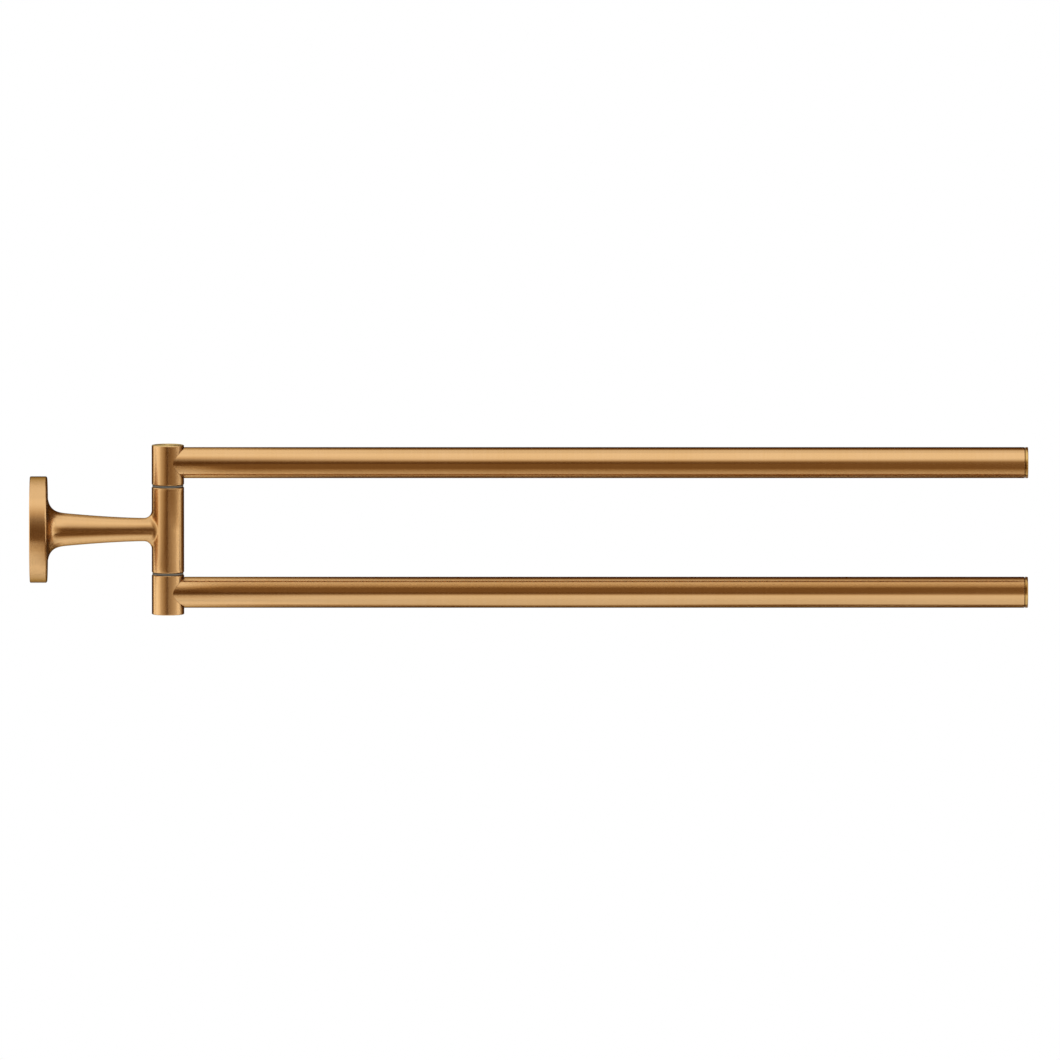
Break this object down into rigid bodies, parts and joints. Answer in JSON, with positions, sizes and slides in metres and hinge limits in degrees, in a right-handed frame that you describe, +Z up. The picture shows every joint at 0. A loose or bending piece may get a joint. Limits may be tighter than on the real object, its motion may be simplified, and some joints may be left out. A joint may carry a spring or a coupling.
{
  "type": "two-arm towel holder",
  "caption": "Wall towel holder: a round rosette and trumpet neck carry an upright barrel, on which two long straight tubular arms swivel, one above the other.",
  "frame": {"origin": "centre of the rosette's back face, on the wall", "axes": "+X out of the wall and along the arms at rest, +Y along the wall, +Z up along the pivot axis"},
  "size_m": [0.45, 0.048, 0.0766],
  "materials": {
    "brushed_bronze": "brushed bronze coating on brass",
    "polished_bronze": "polished, same coating",
    "stainless_steel": "plain machined stainless steel",
    "grey_acetal": "moulded acetal"
  },
  "bodies": {
    "wall_bracket": {"wall_plate": "stainless_steel", "wall_post": "brushed_bronze", "rosette_grub_screw": "stainless_steel", "pivot_axle": "stainless_steel", "retaining_screws": "stainless_steel", "upper_friction_ring": "grey_acetal", "upper_disc_spring": "stainless_steel", "upper_thrust_washer": "stainless_steel", "lower_friction_ring": "grey_acetal", "lower_disc_spring": "stainless_steel", "lower_thrust_washer": "stainless_steel"},
    "upper_arm": {"upper_hub": "brushed_bronze", "upper_hub_bush": "grey_acetal", "upper_hub_cover": "brushed_bronze", "upper_tube_spigot": "stainless_steel", "upper_tube": "brushed_bronze", "upper_tip_cap": "polished_bronze"},
    "lower_arm": {"lower_hub": "brushed_bronze", "lower_hub_bush": "grey_acetal", "lower_hub_cover": "brushed_bronze", "lower_tube_spigot": "stainless_steel", "lower_tube": "brushed_bronze", "lower_tip_cap": "polished_bronze"}
  },
  "joints": [
    {"name": "upper_arm_swivel", "type": "hinge", "parent": "wall_bracket", "child": "upper_arm", "pos_m": [0.0622, 0, 0.0303], "axis": [0, 0, 1], "range_deg": [-90, 90]},
    {"name": "lower_arm_swivel", "type": "hinge", "parent": "wall_bracket", "child": "lower_arm", "pos_m": [0.0622, 0, -0.0284], "axis": [0, 0, 1], "range_deg": [-90, 90]}
  ]
}
